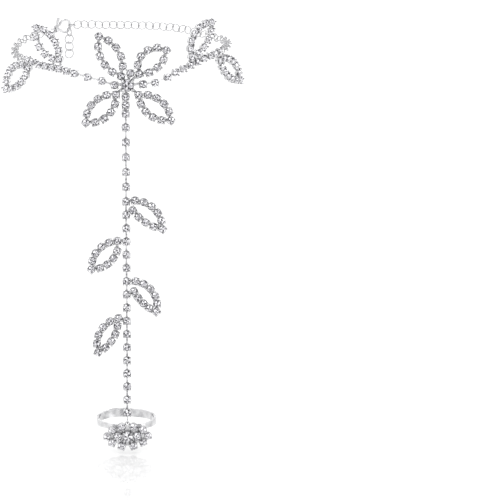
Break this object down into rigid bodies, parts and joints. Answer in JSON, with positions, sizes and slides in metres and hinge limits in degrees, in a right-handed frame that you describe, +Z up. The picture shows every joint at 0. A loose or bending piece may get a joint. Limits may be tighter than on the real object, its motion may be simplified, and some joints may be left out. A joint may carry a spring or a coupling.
{
  "type": "barefoot sandal",
  "caption": "Silver barefoot sandal: stone-set anklet with a four-petal flower, a hanging stem of linked stone cups with leaf loops, and a toe ring with a stone rosette.",
  "frame": {"origin": "centre of the ankle loop, level with its height at the front", "axes": "+Z up along the ankle, with the stem hanging towards -Z; -Y to the front, the way the flower faces; +X to the right as seen from the front"},
  "size_m": [0.0746, 0.0704, 0.1316],
  "materials": {
    "cup_silver": "bright silver plate",
    "chain_silver": "bright silver plate",
    "clasp_silver": "bright silver plate",
    "band_silver": "polished silver plate",
    "crystal": "foil-backed cut crystal",
    "centre_crystal": "foil-backed cut crystal",
    "rosette_crystal": "foil-backed cut crystal"
  },
  "bodies": {
    "sandal": {"flower_frame": "cup_silver", "flower_stones": "crystal", "flower_centre_stone": "centre_crystal", "stem_cups": "cup_silver", "stem_stones": "crystal", "stem_leaf_1": "cup_silver", "stem_leaf_2": "cup_silver", "stem_leaf_3": "cup_silver", "stem_leaf_4": "cup_silver", "stem_leaf_stones_1": "crystal", "stem_leaf_stones_2": "crystal", "stem_leaf_stones_3": "crystal", "stem_leaf_stones_4": "crystal", "ankle_leaf_1": "cup_silver", "ankle_leaf_2": "cup_silver", "ankle_leaf_3": "cup_silver", "ankle_leaf_4": "cup_silver", "ankle_leaf_stones_1": "crystal", "ankle_leaf_stones_2": "crystal", "ankle_leaf_stones_3": "crystal", "ankle_leaf_stones_4": "crystal", "strand_cups_left": "cup_silver", "strand_stones_left": "crystal", "strand_cups_right": "cup_silver", "strand_stones_right": "crystal", "chain_left": "chain_silver", "chain_back": "chain_silver", "chain_tail": "chain_silver", "clasp_body": "clasp_silver", "hooked_link": "chain_silver", "toe_ring": "band_silver", "rosette_stones": "rosette_crystal"},
    "lever": {"clasp_lever": "clasp_silver"}
  },
  "joints": [
    {"name": "clasp_lever_hinge", "type": "hinge", "parent": "sandal", "child": "lever", "pos_m": [-0.0195, 0.027, 0.00084], "axis": [-0.5592, 0.829, 0], "range_deg": [0, 18], "stiffness_Nm_per_rad": 0.01, "springref_deg": -5.73}
  ]
}
